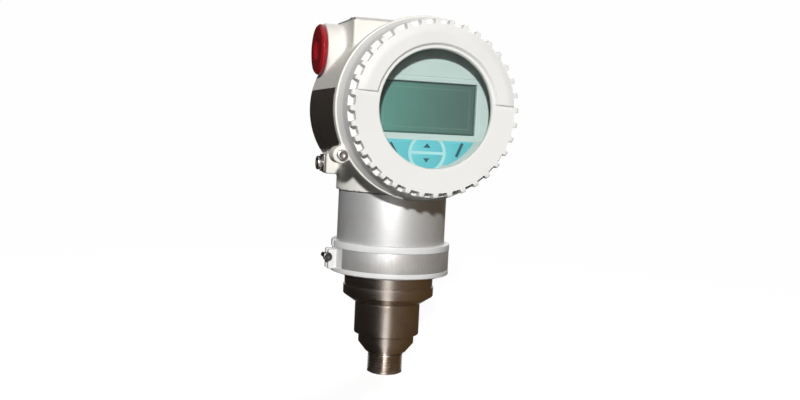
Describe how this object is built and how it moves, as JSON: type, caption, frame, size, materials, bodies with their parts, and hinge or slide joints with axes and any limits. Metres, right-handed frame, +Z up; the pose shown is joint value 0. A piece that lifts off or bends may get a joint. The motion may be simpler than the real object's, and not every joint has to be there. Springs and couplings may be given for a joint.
{
  "type": "pressure transmitter",
  "caption": "Field pressure transmitter: turned steel sensor with a male process thread under a painted barrel housing with a round display window, top conduit block and tag ring.",
  "frame": {"origin": "on the neck's axis, at the shoulder where the process thread ends", "axes": "+Z up the neck, the display cover faces -Y, the open conduit entry faces +X"},
  "size_m": [0.0996, 0.112, 0.2084],
  "materials": {
    "turned_steel": "turned stainless steel, slightly brown",
    "neck_steel": "drawn stainless steel",
    "white_paint": "off-white powder coat on cast aluminium",
    "ring_white": "white moulding",
    "plate_steel": "thin stainless sheet",
    "screw_steel": "stainless screw",
    "seal_rubber": "black rubber",
    "clear_glass": "clear toughened glass",
    "bezel": "pale mint plastic",
    "lcd": "grey-green liquid crystal glass",
    "keys": "turquoise film",
    "board": "green circuit board",
    "dark_plastic": "black plastic",
    "plug_red": "red plastic",
    "button_dark": "dark plastic",
    "fluor": "pale sealing ring"
  },
  "bodies": {
    "sensor": {"process_connection": "turned_steel", "sensor_collar": "turned_steel", "cell_gasket": "fluor", "pressure_cell": "turned_steel", "cell_lock_ring": "turned_steel", "cell_lead": "dark_plastic", "sensor_neck": "neck_steel", "neck_cap": "turned_steel", "neck_oring": "seal_rubber", "board_posts": "screw_steel", "sensor_board": "board", "sensor_cable": "dark_plastic", "tag_ring": "ring_white", "tag_ring_screw": "screw_steel", "tag_plate": "plate_steel"},
    "housing": {"housing": "white_paint", "neck_stop_screw": "screw_steel", "front_lock_screw": "screw_steel", "rear_lock_screw": "screw_steel", "earth_clamp": "screw_steel", "earth_screw": "screw_steel", "side_plate": "plate_steel", "display_frame": "bezel", "lcd_glass": "lcd", "key_film": "keys", "display_board": "board", "electronics_can": "dark_plastic", "main_board": "board", "board_screws": "screw_steel", "sensor_plug": "dark_plastic", "feedthrough": "dark_plastic", "terminal_block": "dark_plastic", "terminal_screws": "screw_steel", "ground_screw": "screw_steel", "name_plate_screws": "screw_steel"},
    "front_seal": {"front_cover_oring": "seal_rubber"},
    "front_cover": {"front_cover": "white_paint", "window_seal": "seal_rubber", "window_glass": "clear_glass", "glass_holder": "screw_steel"},
    "rear_seal": {"rear_cover_oring": "seal_rubber"},
    "rear_cover": {"rear_cover": "white_paint"},
    "name_plate": {"name_plate": "plate_steel"},
    "zero_button": {"zero_button": "button_dark"},
    "protect_button": {"protect_button": "button_dark"},
    "span_button": {"span_button": "button_dark"},
    "plug": {"conduit_plug": "plug_red"}
  },
  "joints": [
    {"name": "housing_swivel", "type": "hinge", "parent": "sensor", "child": "housing", "pos_m": [0, 0, 0.1], "axis": [0, 0, 1], "range_deg": [-180, 180]},
    {"name": "front_cover_travel", "type": "slide", "parent": "housing", "child": "front_seal", "axis": [0, -1, 0], "range_m": [0, 0.0101]},
    {"name": "front_cover_turn", "type": "hinge", "parent": "front_seal", "child": "front_cover", "pos_m": [0, -0.05, 0.1428], "axis": [0, -1, 0], "range_deg": [0, 1800]},
    {"name": "rear_cover_travel", "type": "slide", "parent": "housing", "child": "rear_seal", "axis": [0, 1, 0], "range_m": [0, 0.0081]},
    {"name": "rear_cover_turn", "type": "hinge", "parent": "rear_seal", "child": "rear_cover", "pos_m": [0, 0.028, 0.1428], "axis": [0, 1, 0], "range_deg": [0, 1440]},
    {"name": "name_plate_swing", "type": "hinge", "parent": "housing", "child": "name_plate", "pos_m": [-0.0265, 0.006, 0.1923], "axis": [0, 0, 1], "range_deg": [0, 150]},
    {"name": "zero_button_press", "type": "slide", "parent": "housing", "child": "zero_button", "axis": [0, 0, -1], "range_m": [0, 0.0015], "stiffness_N_per_m": 800},
    {"name": "protect_button_press", "type": "slide", "parent": "housing", "child": "protect_button", "axis": [0, 0, -1], "range_m": [0, 0.0015], "stiffness_N_per_m": 800},
    {"name": "span_button_press", "type": "slide", "parent": "housing", "child": "span_button", "axis": [0, 0, -1], "range_m": [0, 0.0015], "stiffness_N_per_m": 800},
    {"name": "conduit_plug_pull", "type": "slide", "parent": "housing", "child": "plug", "axis": [-1, 0, 0], "range_m": [0, 0.012]}
  ],
  "couplings": [
    {"joint": "front_cover_travel", "follows": "front_cover_turn", "m_per_rad": 0.00031831},
    {"joint": "rear_cover_travel", "follows": "rear_cover_turn", "m_per_rad": 0.00031831}
  ]
}
